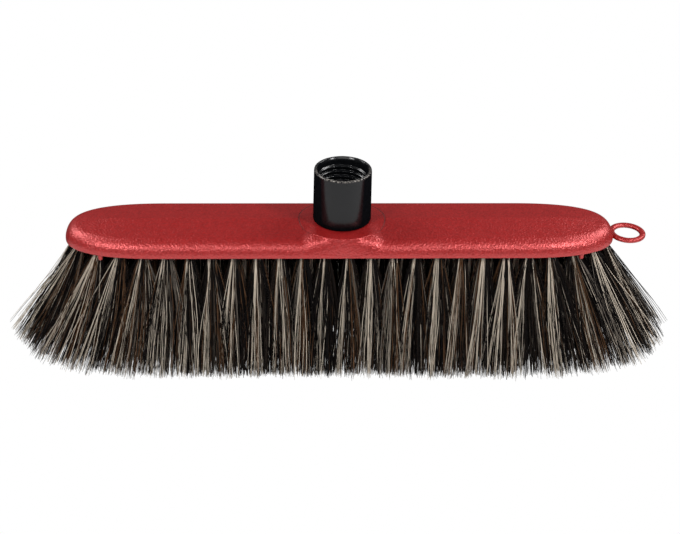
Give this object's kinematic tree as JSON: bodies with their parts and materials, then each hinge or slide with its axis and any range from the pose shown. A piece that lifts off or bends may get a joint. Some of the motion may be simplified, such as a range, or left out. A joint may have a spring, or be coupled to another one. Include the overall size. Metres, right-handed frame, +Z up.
{
  "type": "push broom head",
  "caption": "Push broom head: moulded block with a round-ended outline, threaded handle socket, end hanging loop and splayed bristle tufts.",
  "frame": {"origin": "on the floor plane that the bristle tips stand on, under the middle of the block", "axes": "+X along the block towards the hanging loop, +Z up towards the handle socket's mouth, -Y the front"},
  "size_m": [0.3702, 0.064, 0.114],
  "materials": {
    "block_plastic": "satin",
    "socket_plastic": "satin",
    "bristle": "matte"
  },
  "bodies": {
    "root": {"broom_block": "block_plastic", "handle_socket": "socket_plastic", "inner_tufts_front_left": "bristle", "inner_tufts_front_right": "bristle", "inner_tufts_middle_left": "bristle", "inner_tufts_middle_right": "bristle", "inner_tufts_back_left": "bristle", "inner_tufts_back_right": "bristle", "outer_tuft_01": "bristle", "outer_tuft_02": "bristle", "outer_tuft_03": "bristle", "outer_tuft_04": "bristle", "outer_tuft_05": "bristle", "outer_tuft_06": "bristle", "outer_tuft_07": "bristle", "outer_tuft_08": "bristle", "outer_tuft_09": "bristle", "outer_tuft_10": "bristle", "outer_tuft_11": "bristle", "outer_tuft_12": "bristle", "outer_tuft_13": "bristle", "outer_tuft_14": "bristle", "outer_tuft_15": "bristle", "outer_tuft_16": "bristle", "outer_tuft_17": "bristle", "outer_tuft_18": "bristle", "outer_tuft_19": "bristle", "outer_tuft_20": "bristle", "outer_tuft_21": "bristle", "outer_tuft_22": "bristle", "outer_tuft_23": "bristle", "outer_tuft_24": "bristle", "outer_tuft_25": "bristle", "outer_tuft_26": "bristle", "outer_tuft_27": "bristle", "outer_tuft_28": "bristle", "outer_tuft_29": "bristle", "outer_tuft_30": "bristle", "outer_tuft_31": "bristle", "outer_tuft_32": "bristle", "outer_tuft_33": "bristle", "outer_tuft_34": "bristle", "outer_tuft_35": "bristle", "outer_tuft_36": "bristle", "outer_tuft_37": "bristle", "outer_tuft_38": "bristle", "outer_tuft_39": "bristle", "outer_tuft_40": "bristle", "outer_tuft_41": "bristle", "outer_tuft_42": "bristle", "outer_tuft_43": "bristle", "outer_tuft_44": "bristle", "outer_tuft_45": "bristle", "outer_tuft_46": "bristle", "outer_tuft_47": "bristle", "outer_tuft_48": "bristle", "outer_tuft_49": "bristle", "outer_tuft_50": "bristle"}
  },
  "joints": []
}
